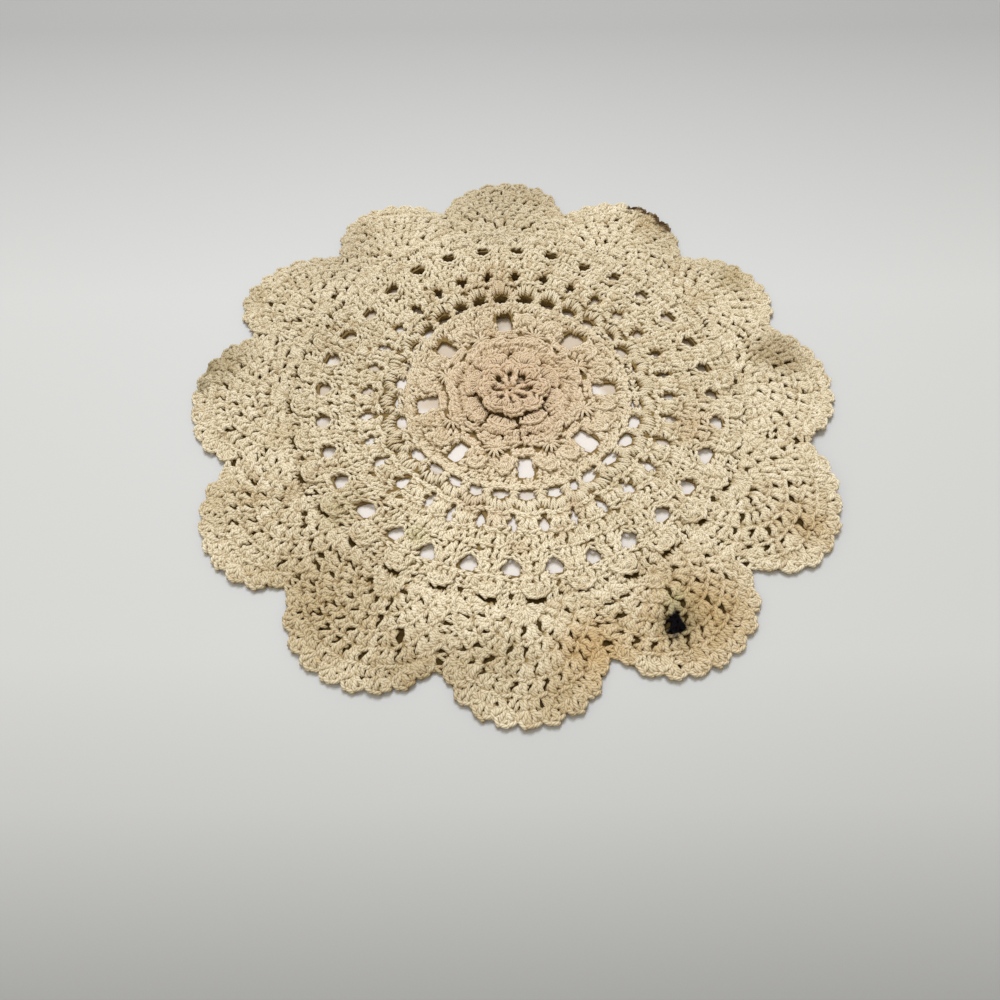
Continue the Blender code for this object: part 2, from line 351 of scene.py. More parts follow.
# %% Make a node and join it to others
def join(tree, made, inputs):
    """Gives each input a socket to link to, or a number, vector, text or colour."""
    for label, value in inputs.items():
        socket = made.inputs[label]
        if isinstance(value, bpy.types.NodeSocket):
            tree.links.new(value, socket)
        elif socket.type == "RGBA":
            socket.default_value = (*value, 1)
        else:
            socket.default_value = value


def add_node(tree, kind, inputs=None, **options):
    """A new node with its options and inputs set."""
    made = tree.nodes.new(kind)
    for name, value in options.items():
        setattr(made, name, value)
    join(tree, made, inputs or {})
    return made


def math_node(tree, kind, *values):
    """The output of one Math node on sockets or numbers."""
    return add_node(tree, "ShaderNodeMath", dict(enumerate(values)), operation=kind).outputs[0]


def mix(tree, share, first, second, kind="MIX"):
    """The colour between two others, each a socket or three numbers."""
    inputs = {"Fac": share, "Color1": first, "Color2": second}
    return add_node(tree, "ShaderNodeMixRGB", inputs, blend_type=kind).outputs["Color"]


def ramp(tree, share, stops):
    """The colour at a share of a ramp; stops are (position, colour) from low to high."""
    made = add_node(tree, "ShaderNodeValToRGB", {"Fac": share})
    elements = made.color_ramp.elements
    for element, (position, colour) in zip((elements[0], elements[1]), (stops[0], stops[-1])):
        element.position = position
        element.color = (*colour, 1)
    for position, colour in stops[1:-1]:
        elements.new(position).color = (*colour, 1)
    return made.outputs["Color"]


def new_finish(name):
    """A new material and its node tree."""
    mat = bpy.data.materials.new(name)
    mat.use_nodes = True
    return mat, mat.node_tree


print("node helpers ready")

# %% [markdown]
# ## The sweep
# The paths become edges of a mesh. A Geometry Nodes tree turns them into curves and sweeps
# a small polygon along them. It also writes two things that the finish needs: how far along
# its thread a point lies, and where it sits round the section. Curve objects with a bevel
# could do the sweep, but they would lose those two.

# %% The yarn tree
SIDES = 5  # sides of the swept section


def yarn_tree():
    """Sweeps a round section along every path, and marks the thread for its finish."""
    tree = bpy.data.node_groups.new("yarn", "GeometryNodeTree")
    add_socket = tree.interface.new_socket
    add_socket("Geometry", in_out="INPUT", socket_type="NodeSocketGeometry")
    for name, kind, value in (("Thickness", "NodeSocketFloat", THREAD),
                              ("Sides", "NodeSocketInt", SIDES)):
        add_socket(name, in_out="INPUT", socket_type=kind).default_value = value
    add_socket("Finish", in_out="INPUT", socket_type="NodeSocketMaterial")
    add_socket("Geometry", in_out="OUTPUT", socket_type="NodeSocketGeometry")
    enter = add_node(tree, "NodeGroupInput")
    curve = add_node(tree, "GeometryNodeMeshToCurve", {"Mesh": enter.outputs["Geometry"]})
    length = add_node(tree, "GeometryNodeSplineParameter")
    along = add_node(tree, "GeometryNodeStoreNamedAttribute",
                     {"Geometry": curve.outputs["Curve"], "Name": "along",
                      "Value": length.outputs["Length"]})
    girth = add_node(tree, "GeometryNodeInputNamedAttribute", {"Name": "girth"})
    # the section, each corner marked with its direction from the middle
    section = add_node(tree, "GeometryNodeCurvePrimitiveCircle",
                       {"Resolution": enter.outputs["Sides"],
                        "Radius": enter.outputs["Thickness"]})
    corner = add_node(tree, "GeometryNodeInputPosition")
    outwards = add_node(tree, "ShaderNodeVectorMath", {0: corner.outputs[0]},
                        operation="NORMALIZE")
    marked = add_node(tree, "GeometryNodeStoreNamedAttribute",
                      {"Geometry": section.outputs["Curve"], "Name": "around",
                       "Value": outwards.outputs["Vector"]}, data_type="FLOAT_VECTOR")
    sweep = add_node(tree, "GeometryNodeCurveToMesh",
                     {"Curve": along.outputs["Geometry"],
                      "Profile Curve": marked.outputs["Geometry"],
                      "Scale": girth.outputs["Attribute"], "Fill Caps": True})
    rounded = add_node(tree, "GeometryNodeSetShadeSmooth", {"Geometry": sweep.outputs["Mesh"]})
    real = add_node(tree, "GeometryNodeRealizeInstances",
                    {"Geometry": rounded.outputs["Geometry"]})
    dressed = add_node(tree, "GeometryNodeSetMaterial",
                       {"Geometry": real.outputs["Geometry"],
                        "Material": enter.outputs["Finish"]})
    add_node(tree, "NodeGroupOutput", {"Geometry": dressed.outputs["Geometry"]})
    return tree


YARN = yarn_tree()
SOCKETS = {s.name: s.identifier for s in YARN.interface.items_tree if s.in_out == "INPUT"}
print("yarn tree inputs:", sorted(SOCKETS))

# %% [markdown]
# ## From paths to a piece
# `lines_of` joins all of a piece's paths into one mesh of edges. `sewn` runs the tree on it
# and keeps the result as a plain mesh. The piece could keep its modifier instead, but a
# plain mesh can be measured, and it exports as it is.

# %% Make one piece
UNEVEN = 0.22  # how far small waves lift and lower every strand, millimetres
LOWEST = 0.9  # least height of a strand's middle over the table, in its own radii


def waves(x, y):
    """Small waves all over the cloth, from about -2 to 2."""
    broad = np.sin(41 * x + 17 * y + 1.0) * np.sin(37 * y - 13 * x)
    return broad + np.sin(73 * x + 5) * np.sin(67 * y)


def lines_of(name, thread):
    """All of a piece's paths as one mesh of edges, bent to the real mat."""
    spots, edges, girths, tones, deep = [], [], [], [], []
    first = 0
    for path, girth, tone in thread.paths:
        count, n = path.shape[:2]
        xy = place(path[..., :2])
        ripple = waves(xy[..., 0] / UNIT, xy[..., 1] / UNIT)
        z = (path[..., 2] + UNEVEN * ripple) * MM + rise(xy)
        z = np.maximum(z, LOWEST * THREAD * girth)
        spots.append(np.concatenate([xy, z[..., None]], -1).reshape(-1, 3))
        ids = first + np.arange(count * n).reshape(count, n)
        edges.append(np.stack([ids[:, :-1], ids[:, 1:]], -1).reshape(-1, 2))
        girths.append(np.full(count * n, girth))
        tones.append(np.repeat(tone, n))
        deep.append(path[..., 3].reshape(-1))
        first += count * n
    spots, edges = np.concatenate(spots), np.concatenate(edges)
    lines = bpy.data.meshes.new(name + "_lines")
    lines.vertices.add(len(spots))
    lines.vertices.foreach_set("co", spots.astype(np.float32).ravel())
    lines.edges.add(len(edges))
    lines.edges.foreach_set("vertices", edges.astype(np.int32).ravel())
    for label, values in (("girth", girths), ("tone", tones), ("deep", deep)):
        column = lines.attributes.new(label, "FLOAT", "POINT")
        column.data.foreach_set("value", np.concatenate(values).astype(np.float32))
    lines.update()
    return lines


def sewn(name, thread, finish):
    """One piece of the mat: all its paths swept with thread."""
    lines = lines_of(name, thread)
    carrier = bpy.data.objects.new(name + "_carrier", lines)
    bpy.context.collection.objects.link(carrier)
    mod = carrier.modifiers.new("yarn", "NODES")
    mod.node_group = YARN
    for label, value in (("Thickness", THREAD), ("Sides", SIDES), ("Finish", finish)):
        mod[SOCKETS[label]] = value
    graph = bpy.context.evaluated_depsgraph_get()
    mesh = bpy.data.meshes.new_from_object(carrier.evaluated_get(graph), depsgraph=graph)
    mesh.name = name
    bpy.data.objects.remove(carrier)
    bpy.data.meshes.remove(lines)
    piece = bpy.data.objects.new(name, mesh)
    bpy.context.collection.objects.link(piece)
    triangles = sum(len(p.vertices) - 2 for p in mesh.polygons)
    print(name, ":", triangles, "triangles,", sum(len(p[0]) for p in thread.paths), "strands,",
          [m.name for m in mesh.materials])
    return piece


print("least height of a strand's middle, metres:", LOWEST * THREAD)

# %% [markdown]
# ## Finishes
# The cotton is cream, and darker with painted shade where it lies deep between its neighbours.
# Age has left stains on it, and four wide spots on the far rim are painted shade that darkens
# the far side. Each spot is a soft round one on the object's own coordinates, bent by noise.
# They could be painted over an unwrapped mat, but nodes need no unwrapping and stay sharp at any
# distance.

# %% Stains and painted shade, shared by all the cotton
STAINS_AND_SHADE = (
    # angle, radius, reach and full core in units, colour (linear), strength
    (262, 0.52, 0.46, 0.10, (0.80, 0.72, 0.545), 0.55),
    (0, 0.00, 0.52, 0.0, (0.61, 0.425, 0.28), 0.62),
    (232, 0.98, 0.36, 0.0, (0.40, 0.30, 0.15), 0.68),
    (256, 1.06, 0.26, 0.0, (0.34, 0.25, 0.12), 0.68),
    (276, 1.06, 0.18, 0.0, (0.38, 0.27, 0.12), 0.60),
    (283, 0.94, 0.17, 0.0, (0.46, 0.29, 0.10), 0.70),
    (302, 0.96, 0.28, 0.0, (0.42, 0.28, 0.11), 0.75),
    (267, 0.94, 0.13, 0.0, (0.38, 0.30, 0.16), 0.55),
    (330, 1.02, 0.18, 0.0, (0.45, 0.31, 0.14), 0.50),
    (205, 1.04, 0.20, 0.0, (0.45, 0.35, 0.19), 0.50),
    (172, 1.06, 0.18, 0.0, (0.30, 0.23, 0.11), 0.68),
    (155, 1.10, 0.10, 0.0, (0.33, 0.25, 0.11), 0.50),
    (179, 1.085, 0.05, 0.01, (0.13, 0.10, 0.035), 0.75),
    (174, 1.085, 0.05, 0.01, (0.15, 0.11, 0.04), 0.65),
    (168, 1.06, 0.05, 0.01, (0.16, 0.11, 0.045), 0.60),
    (193, 0.78, 0.12, 0.0, (0.45, 0.34, 0.17), 0.45),
    (219, 0.72, 0.12, 0.0, (0.40, 0.32, 0.15), 0.50),
    (56, 1.03, 0.12, 0.0, (0.40, 0.28, 0.12), 0.50),
    (33, 1.01, 0.13, 0.0, (0.38, 0.29, 0.14), 0.65),
    (10, 0.96, 0.16, 0.03, (0.34, 0.26, 0.14), 0.72),
    (348, 1.10, 0.09, 0.0, (0.40, 0.27, 0.12), 0.50),
    (100, 0.47, 0.16, 0.0, (0.45, 0.31, 0.17), 0.55),
    # painted shade: these four spots darken the far side of the mat
    (80, 1.12, 0.24, 0.0, (0.38, 0.31, 0.19), 0.65),
    (95, 1.06, 0.50, 0.0, (0.42, 0.35, 0.23), 0.62),
    (46, 1.04, 0.30, 0.0, (0.42, 0.35, 0.22), 0.54),
    (134, 1.02, 0.32, 0.0, (0.42, 0.35, 0.23), 0.60),
    (345, 0.62, 0.12, 0.0, (0.50, 0.35, 0.19), 0.45),
    (165, 0.85, 0.65, 0.0, (0.45, 0.38, 0.25), 0.22),
    (300, 0.89, 0.06, 0.01, (0.52, 0.48, 0.28), 0.70),
    (252, 0.46, 0.07, 0.01, (0.54, 0.40, 0.26), 0.50),
    (263, 0.50, 0.07, 0.01, (0.54, 0.40, 0.26), 0.45),
    (270, 0.61, 0.05, 0.01, (0.50, 0.38, 0.23), 0.50),
    (284, 0.57, 0.06, 0.01, (0.54, 0.42, 0.27), 0.45),
    (291, 0.49, 0.05, 0.01, (0.50, 0.37, 0.23), 0.50),
    (241, 0.63, 0.06, 0.01, (0.50, 0.46, 0.25), 0.55),
    # a scorched edge
    (62.2, 1.072, 0.037, 0.018, (0.048, 0.022, 0.007), 0.96),
    (60.0, 1.066, 0.035, 0.014, (0.095, 0.050, 0.020), 0.94),
    (58.0, 1.064, 0.037, 0.016, (0.080, 0.041, 0.016), 0.96),
    (56.0, 1.058, 0.037, 0.016, (0.075, 0.038, 0.014), 0.96),
    (54.0, 1.042, 0.037, 0.016, (0.060, 0.029, 0.010), 0.96),
    (52.2, 1.020, 0.035, 0.014, (0.095, 0.050, 0.020), 0.94),
    # a spot of ink, and where it seeped
    (298.8, 0.950, 0.095, 0.030, (0.17, 0.15, 0.08), 0.60),
    (299.6, 0.925, 0.030, 0.018, (0.004, 0.003, 0.005), 0.99),
    (298.4, 0.950, 0.042, 0.030, (0.004, 0.003, 0.004), 1.0),
    (297.0, 0.974, 0.026, 0.012, (0.005, 0.004, 0.006), 0.99),
)
RAGGED = 0.009  # metres that the noise shifts a stain's edge
SPOT_HEIGHT = 1 * MM  # where a spot's middle lies in the cloth


def stains_and_shade_group():
    """Lays one spot after another on a colour: stains, and painted shade on the far rim."""
    tree = bpy.data.node_groups.new("stains_and_shade", "ShaderNodeTree")
    for way in ("INPUT", "OUTPUT"):
        tree.interface.new_socket("Colour", in_out=way, socket_type="NodeSocketColor")
    enter = add_node(tree, "NodeGroupInput")
    where = add_node(tree, "ShaderNodeTexCoord").outputs["Object"]
    noise = add_node(tree, "ShaderNodeTexNoise", {"Vector": where, "Scale": 90, "Detail": 3})
    ragged = add_node(tree, "ShaderNodeVectorMath",
                      {0: noise.outputs["Color"], 1: (RAGGED, RAGGED, RAGGED), 2: where},
                      operation="MULTIPLY_ADD")
    colour = enter.outputs["Colour"]
    for angle, radius, reach, core, tint, strength in STAINS_AND_SHADE:
        spot = polar(angle, radius) * UNIT + MIDDLE + RAGGED / 2
        apart = add_node(tree, "ShaderNodeVectorMath",
                         {0: ragged.outputs["Vector"], 1: (*spot, SPOT_HEIGHT + RAGGED / 2)},
                         operation="DISTANCE")
        fade = add_node(tree, "ShaderNodeMapRange",
                        {"Value": apart.outputs["Value"], "From Min": reach * UNIT,
                         "From Max": core * UNIT, "To Min": 0.0, "To Max": strength},
                        interpolation_type="SMOOTHSTEP")
        colour = mix(tree, fade.outputs["Result"], colour, tint)
    add_node(tree, "NodeGroupOutput", {"Colour": colour})
    return tree


STAINS_AND_SHADE_TREE = stains_and_shade_group()
print("stains:", len(STAINS_AND_SHADE))

# %% [markdown]
# ## The thread's twist
# Crochet cotton is three plies twisted together. They are too fine to be modelled, so they
# are a bump that follows the two values that the sweep wrote on the thread.

# %% The plies
PLIES = 3
LAY = 0.0031  # metres of thread for one full turn of its plies


def ply_group():
    """Height of the plies, from the place along the thread and round its section."""
    tree = bpy.data.node_groups.new("plies", "ShaderNodeTree")
    tree.interface.new_socket("Height", in_out="OUTPUT", socket_type="NodeSocketFloat")
    along = add_node(tree, "ShaderNodeAttribute", attribute_name="along")
    around = add_node(tree, "ShaderNodeAttribute", attribute_name="around")
    split = add_node(tree, "ShaderNodeSeparateXYZ", {"Vector": around.outputs["Vector"]})
    angle = math_node(tree, "ARCTAN2", split.outputs["Y"], split.outputs["X"])
    twist = math_node(tree, "MULTIPLY", along.outputs["Fac"], 2 * math.pi / LAY)
    phase = math_node(tree, "MULTIPLY", math_node(tree, "ADD", angle, twist), PLIES / 2)
    height = math_node(tree, "ABSOLUTE", math_node(tree, "SINE", phase))
    add_node(tree, "NodeGroupOutput", {"Height": height})
    return tree


PLY_TREE = ply_group()
print("plies:", PLIES, "lay:", LAY)

# %% [markdown]
# ## The cotton thread
# Old cotton isn't one colour. Each strand has its own tone, stored with its paths, and each
# patch of the mat has another, from a slow noise, partly real tone and partly painted shade
# between the lumps. Thread that lies deep gets painted shade. A renderer can find such depths,
# but the paths know them already: the height of a strand in its stitch is stored too, and sets
# how much painted shade it gets. The grooves between its plies get painted shade as well.

# %% The cotton thread
CREAM = (
    # position on the ramp, colour
    (0.24, (0.55, 0.447, 0.29)),
    (0.38, (0.642, 0.558, 0.395)),
    (0.75, (0.737, 0.66, 0.502)),
)
STRAND_SHARE, PATCH_SHARE = 0.45, 0.55  # what each adds to the place on the ramp
DEEP_SHADE = (0.42, 0.315, 0.15)  # painted shade: multiplies the colour of thread that lies deep
DEEP_FROM, DEEP_TO = 0.30, 1.25  # heights in a stitch between which it fades, millimetres
GROOVE_SHADE = (0.60, 0.51, 0.35)  # painted shade: multiplies the colour of the grooves between plies


def cotton():
    """Cream thread with stains, painted shade in its depths and ply grooves, and three plies."""
    mat, tree = new_finish("cotton_thread")
    tone = add_node(tree, "ShaderNodeAttribute", attribute_name="tone")
    where = add_node(tree, "ShaderNodeTexCoord")
    # a slow noise for each patch of the mat: partly real tone, partly painted shade between the
    # lumps
    patches = add_node(tree, "ShaderNodeTexNoise",
                       {"Vector": where.outputs["Object"], "Scale": 38, "Detail": 2})
    mixed = math_node(tree, "ADD",
                      math_node(tree, "MULTIPLY", tone.outputs["Fac"], STRAND_SHARE),
                      math_node(tree, "MULTIPLY", patches.outputs["Fac"], PATCH_SHARE))
    spots_node = add_node(tree, "ShaderNodeGroup", {"Colour": ramp(tree, mixed, CREAM)},
                   node_tree=STAINS_AND_SHADE_TREE)
    stained_and_shaded = spots_node.outputs["Colour"]
    # painted shade: thread that lies deep is darkened brown
    deep = add_node(tree, "ShaderNodeAttribute", attribute_name="deep")
    high = add_node(tree, "ShaderNodeMapRange",
                    {"Value": deep.outputs["Fac"], "From Min": DEEP_FROM, "From Max": DEEP_TO})
    deep_shade_colour = mix(tree, 1, stained_and_shaded, DEEP_SHADE, "MULTIPLY")
    with_deep_shade = mix(tree, high.outputs["Result"], deep_shade_colour, stained_and_shaded)
    # and painted shade in the grooves between its plies
    plies = add_node(tree, "ShaderNodeGroup", node_tree=PLY_TREE).outputs["Height"]
    crest = add_node(tree, "ShaderNodeMapRange", {"Value": plies, "From Max": 0.55})
    with_groove_shade = mix(tree, 1, with_deep_shade, GROOVE_SHADE, "MULTIPLY")
    twisted = mix(tree, crest.outputs["Result"], with_groove_shade, with_deep_shade)
    bump = add_node(tree, "ShaderNodeBump",
                    {"Height": plies, "Strength": 0.6, "Distance": 0.22 * MM})
    join(tree, tree.nodes["Principled BSDF"],
         {"Base Color": twisted, "Normal": bump.outputs["Normal"], "Roughness": 0.85,
          "Specular IOR Level": 0.03})
    return mat


COTTON = cotton()
print("finish:", COTTON.name)

# %% [markdown]
# ## The shaded ground
# Between the top strands one looks into thread that gets hardly any light. Modelling all of
# it would double the strands, so a dim, lumpy sheet stands for it. It has a finish of its
# own, because the shade that it stands for is far darker than the cotton.

# %% The finish of the ground under the stitches
WALL = (0.31, 0.215, 0.09)  # the walls of the gaps, which catch light
SHADE = (0.048, 0.030, 0.009)  # what faces up among the scallops' stitches
LOOSE_SHADE = (0.20, 0.132, 0.050)  # the same inside the ring of scallops
LOOSE = 0.74 * UNIT  # how far the loose inner rounds reach, metres


def shaded_ground_finish():
    """Painted shade: dark brown facing up, paler on walls and inside the ring of scallops."""
    mat, tree = new_finish("shaded_cotton_ground")
    facing = add_node(tree, "ShaderNodeNewGeometry")
    split = add_node(tree, "ShaderNodeSeparateXYZ", {"Vector": facing.outputs["Normal"]})
    level = math_node(tree, "ABSOLUTE", split.outputs["Z"])
    shade = mix(tree, level, WALL, SHADE)
    where = add_node(tree, "ShaderNodeTexCoord").outputs["Object"]
    apart = add_node(tree, "ShaderNodeVectorMath", {0: where, 1: (*MIDDLE, 0)},
                     operation="DISTANCE")
    loose = math_node(tree, "LESS_THAN", apart.outputs["Value"], LOOSE)
    # it is thread too, so it is lumpy
    lumps = add_node(tree, "ShaderNodeTexVoronoi", {"Vector": where, "Scale": 700})
    bump = add_node(tree, "ShaderNodeBump",
                    {"Height": lumps.outputs["Distance"], "Strength": 1.0,
                     "Distance": 0.6 * MM}, invert=True)
    join(tree, tree.nodes["Principled BSDF"],
         {"Base Color": mix(tree, loose, shade, LOOSE_SHADE), "Normal": bump.outputs["Normal"],
          "Roughness": 0.95, "Specular IOR Level": 0.0})
    return mat


SHADED_GROUND = shaded_ground_finish()
print("finish:", SHADED_GROUND.name)

# %% [markdown]
# ## The rose
# In the middle a little wheel of eight spokes stands on its petals: two raised layers of
# eight, two lower layers of eight, and a flat collar of eight broad ones. A petal could be a
# smooth curved sheet. But a real one is worked over a loop of chain, so here it is a fan of
# short strands with a braid round its edge, and it catches the light as thread does.

# %% A layer of petals, and the collar's splits
CROWN = 0.35  # how much higher a petal is along its middle, millimetres
PETALS = (
    # turn, inner and outer radius, drop of the corners, half the width in degrees, strands,
    # links, height in millimetres, width of the braid, how unlike they are, hollow
    (0, 0.054, 0.116, 0.018, 20.8, 9, 4, 3.8, 0.020, 1.4, 0.020),
    (0, 0.092, 0.125, 0.020, 21.0, 9, 5, 3.2, 0.018, 1.0, 0.0),
    (27, 0.122, 0.166, 0.014, 19.2, 12, 7, 1.2, 0.012, 1.2, 0.0),
    (27, 0.142, 0.174, 0.016, 18.2, 11, 7, 0.7, 0.011, 1.2, 0.0),
)
SLITS = (
    # angle of a split in the collar, and how far it opens, degrees
    (274, 1.9),
    (229, 1.1),
    (318, 1.1),
    (94, 0.6),
)
SLIT_REACH = 7  # how far from a split it still moves the thread, degrees


def petals(thread, turn, inner, outer, drop, half, strands, links, up, wide, own, hollow):
    """Eight petals, no two alike: a fan of coils with a braided edge."""
    for k in range(8):
        mid = turn + 45 * k + rng.normal(0, own)
        reach = outer + rng.normal(0, 0.0025 * own)
        high = up + rng.normal(0, 0.22 * own)
        off = np.linspace(-1, 1, strands)
        crown = high + CROWN * (1 - off**2) * own
        start = inner + hollow * (1 - off**2)
        thread.stamp(COIL, polar(mid + half * 0.86 * off, start),
                     polar(mid + half * off, reach - wide * 0.9 - drop * off**2), 0.010,
                     up=crown, girth=0.78, wild=0.6)
        off = np.linspace(-1, 1, links + 1)
        edge = high + CROWN * (1 - ((off[1:] + off[:-1]) / 2)**2) * own
        thread.braid(polar(mid + half * off, reach - wide * 0.4 - drop * off**2), wide,
                     up=edge, shape=RIM)


def slit(angle, radius):
    """A point of the collar, moved aside where the collar splits."""
    angle = np.asarray(angle, float)
    moved = angle.copy()
    for centre, much in SLITS:
        apart = angle - centre
        moved = moved + much * np.sign(apart) * np.exp(-np.abs(apart) / SLIT_REACH)
    return polar(moved, radius)


print("layers of petals:", len(PETALS), "splits in the collar:", len(SLITS))

# %% The rose
rose = Thread()
spokes = 22.5 + 45 * np.arange(8) + rng.normal(0, 1.6, 8)
rose.stamp(SPOKE, polar(spokes, 0.018), polar(spokes, 0.068), 0.022, 0.034, up=2.6,
           girth=1.45, wild=1.5)
rose.braid(closed(ring(0.016, 6)), 0.012, up=1.9)
# what shows between the spokes
rose.braid(closed(ring(0.036, 7)), 0.026, up=0.7, girth=1.2, wild=1.4)
rose.braid(closed(ring(0.058, 12)), 0.026, up=0.6, girth=1.2, wild=1.4)
# the uppermost petals stand on edge, with a dark hollow under them
for layer in PETALS:
    petals(rose, *layer)
for mid in STARS:
    off = np.linspace(-1, 1, 11)
    rose.stamp(STEM, slit(mid + 20.0 * off, 0.166 + rng.normal(0, 0.002, 11)),
               slit(mid + 20.4 * off, 0.196 + rng.normal(0, 0.002, 11) - 0.004 * off**2),
               0.015, 0.018, up=1.1, wild=1.4)
    off = np.linspace(-1, 1, 12)
    rose.stamp(TREBLE, slit(mid + 20.4 * off, 0.200 - 0.007 * off**2),
               slit(mid + 19.8 * off, 0.230 - 0.014 * off**2), 0.016, 0.019, up=0.9, wild=1.5)
    off = np.linspace(-1, 1, 8)
    rose.braid(slit(mid + 19.6 * off, 0.236 - 0.020 * off**4), 0.016, up=0.5, shape=RIM)
rose_piece = sewn("rose", rose, COTTON)

# %% [markdown]
# ## The windows
# Eight stars of thread stand round the rose, each with two small leaves. Between the stars
# the pattern leaves its biggest gaps. The gaps could be cut out of a closed round, but cut
# edges look cut. Here thread is laid only where the mat has it, so a gap has worked edges.

# %% A leaf: short legs under an arched braid
LEAF_LEGS, LEAF_LINKS = 6, 6
LEAF_SPREAD, LEAF_ARCH = 66, 104  # half the angles that its legs and its braid cover, degrees
LEG_FROM, LEG_TO, ARCH_AT = 0.08, 0.72, 0.90  # shares of the way to its rim
LEG_WIDE, LEG_WIDE_TOP = 0.26, 0.52  # shares of its width


def leaf(thread, angle, radius, wide, tall, up, lean=0.0):
    """A small raised shell that starts at (angle, radius) and points outwards."""
    def arc(spin, share):
        spin = np.radians(spin)
        u, v = np.cos(spin) * tall * share, np.sin(spin) * wide * share
        return about(angle, radius, lean + np.degrees(np.arctan2(v, u)), np.hypot(u, v))

    spin = np.linspace(-LEAF_SPREAD, LEAF_SPREAD, LEAF_LEGS)
    thread.stamp(STEM, arc(spin, LEG_FROM), arc(spin, LEG_TO), wide * LEG_WIDE,
                 wide * LEG_WIDE_TOP, up=up)
    spin = np.linspace(-LEAF_ARCH, LEAF_ARCH, LEAF_LINKS + 1)
    thread.braid(arc(spin, ARCH_AT), 0.016, up=up + 0.1, shape=RIM)


print("a leaf has", LEAF_LEGS, "legs and", LEAF_LINKS, "links")

# %% The stars
STAR = 0.247  # radius of the stars' middles
STOUT = 1.12  # girth of the thread that most rounds are worked with

star = Thread()
for mid in STARS:
    spin = np.arange(12) * 30 + 8
    star.stamp(COIL, about(mid, STAR, spin, 0.004), about(mid, STAR, spin, 0.036), 0.012,
               up=0.75, girth=0.86, wild=0.8)
    # stitches that spread from the star to the next round
    spin = np.linspace(-72, 72, 9)
    star.stamp(POST, about(mid, STAR, spin, 0.038), about(mid, STAR, spin, 0.070), 0.016,
               0.026, girth=STOUT)
    off = np.linspace(-1, 1, 11)
    low = -0.9 * np.exp(-((np.abs(off) - 0.56) / 0.28)**2)
    star.stamp(POST, polar(mid + 15.2 * off, 0.314), polar(mid + 15.6 * off, 0.350), 0.018,
               up=low, girth=STOUT)
    for side in (-1, 1):
        leaf(star, mid + side * 8.6, 0.298, 0.031, 0.046, up=0.8, lean=side * 8)
        star.stamp(STEM, polar(mid + side * np.array([13.6, 15.2]), 0.274),
                   polar(mid + side * np.array([13.8, 15.8]), 0.312), 0.018, up=0.1)
    # two chains to the next star
    star.braid(polar(mid + np.linspace(31.0, 14.0, 9)[::-1], 0.261), 0.016, up=0.3)
    star.braid(polar(mid + np.linspace(31.0, 14.0, 8)[::-1], 0.247), 0.014, up=0.1)
print("strands in the stars:", sum(len(path) for path, girth, tone in star.paths))


# %% The round that closes the windows
def swaying(count):
    """Angles all round, and how far out a round sways at each."""
    angles = 360 / count * np.arange(count)
    return angles, 0.004 * np.cos(np.radians(angles * 8 + 20)) + rng.normal(0, 0.0015, count)


angles, sway = swaying(120)
star.stamp(SHORT, polar(angles, 0.355 + 0.6 * sway), polar(angles, 0.376 + sway), 0.020,
           wild=1.5)
angles, sway = swaying(96)
star.braid(closed(polar(angles, 0.380 + sway)), 0.016, up=-0.1, wild=1.0)
star_piece = sewn("windows_round", star, COTTON)

# %% [markdown]
# ## The ladder and the fans
# A round of loops hangs on thirty-two posts. Over each loop eleven short stitches spread into
# a fan, with a lower layer of ten behind them, and the loop itself stays open below. Copies
# of one fan would look printed, so each is worked anew and a little different.

# %% The ladder and the fans
SLACK = (31, 0, 1, 3, 13, 14, 16, 18)  # loops with a loose chain lying across them
LADDER = 9.6 + 11.25 * np.arange(32)  # angles of the posts
FAN_FOOT = 0.403  # radius of the point that a fan spreads from
# how far out and aside the stitches of a fan begin, and where they end
FAN_FROM, FAN_TO = (0.037, 0.041), (0.080, 0.054)
LOWER_FROM, LOWER_TO = (0.042, 0.043), (0.078, 0.052)


def fan_arc(mid, spin, reach, size=1.0):
    """Chart points on an ellipse about a fan's foot; spin in radians from straight out."""
    out, aside = reach[0] * size, reach[1] * size
    a = math.radians(mid)
    turn = np.array([[math.cos(a), math.sin(a)], [-math.sin(a), math.cos(a)]])
    return np.stack([FAN_FOOT + out * np.cos(spin), aside * np.sin(spin)], -1) @ turn


fans = Thread()
fans.stamp(STEM, polar(LADDER, 0.384), polar(LADDER, 0.444), 0.020)
for k, column in enumerate(COLUMNS):
    mid = column + rng.normal(0, 0.35)
    size = 1 + rng.normal(0, 0.05)
    dip = 0.004 * np.array([1, 0, -1, 0, 1])
    fans.braid(polar(mid + np.linspace(-5.7, 5.7, 5), 0.390 + dip), 0.016, up=0.1)
    spin = np.radians(np.linspace(-84, 84, 11) + rng.normal(0, 2.0, 11))
    puff = 0.15 + 0.35 * np.cos(spin) + rng.normal(0, 0.25)
    fans.stamp(TWIN, fan_arc(mid, spin, FAN_FROM), fan_arc(mid, spin, FAN_TO, size), 0.010,
               0.022, girth=0.80, up=puff, wild=0.9)
    # a lower layer closes the slits between them
    spin = np.radians(np.linspace(-76, 76, 10))
    fans.stamp(COIL, fan_arc(mid, spin, LOWER_FROM), fan_arc(mid, spin, LOWER_TO), 0.010,
               girth=1.05, up=-0.6, wild=0.6)
    off = np.linspace(-1, 1, 6)
    fans.braid(polar(mid + 5.5 * off, 0.493 - 0.014 * off**2), 0.020, up=0.35)
    if k in SLACK:
        fans.braid(polar(mid + np.linspace(-4.2, 4.2, 4), 0.414), 0.022, up=-0.4, wild=2.0)
    sides = np.array([-1, 1])
    fans.stamp(TREBLE, polar(mid + 3.7 * sides, 0.480), polar(mid + 3.2 * sides, 0.508), 0.018,
               up=0.05)
fan_piece = sewn("fans", fans, COTTON)

# %% [markdown]
# ## The middle rounds
# Four rounds of four-legged shells stand in thirty-two columns, each in the middle of the
# one before. The gaps open between the columns: drops first, then kites. A round could be a
# plain circle, but the real ones bow outwards over each shell, and `swell` does that.

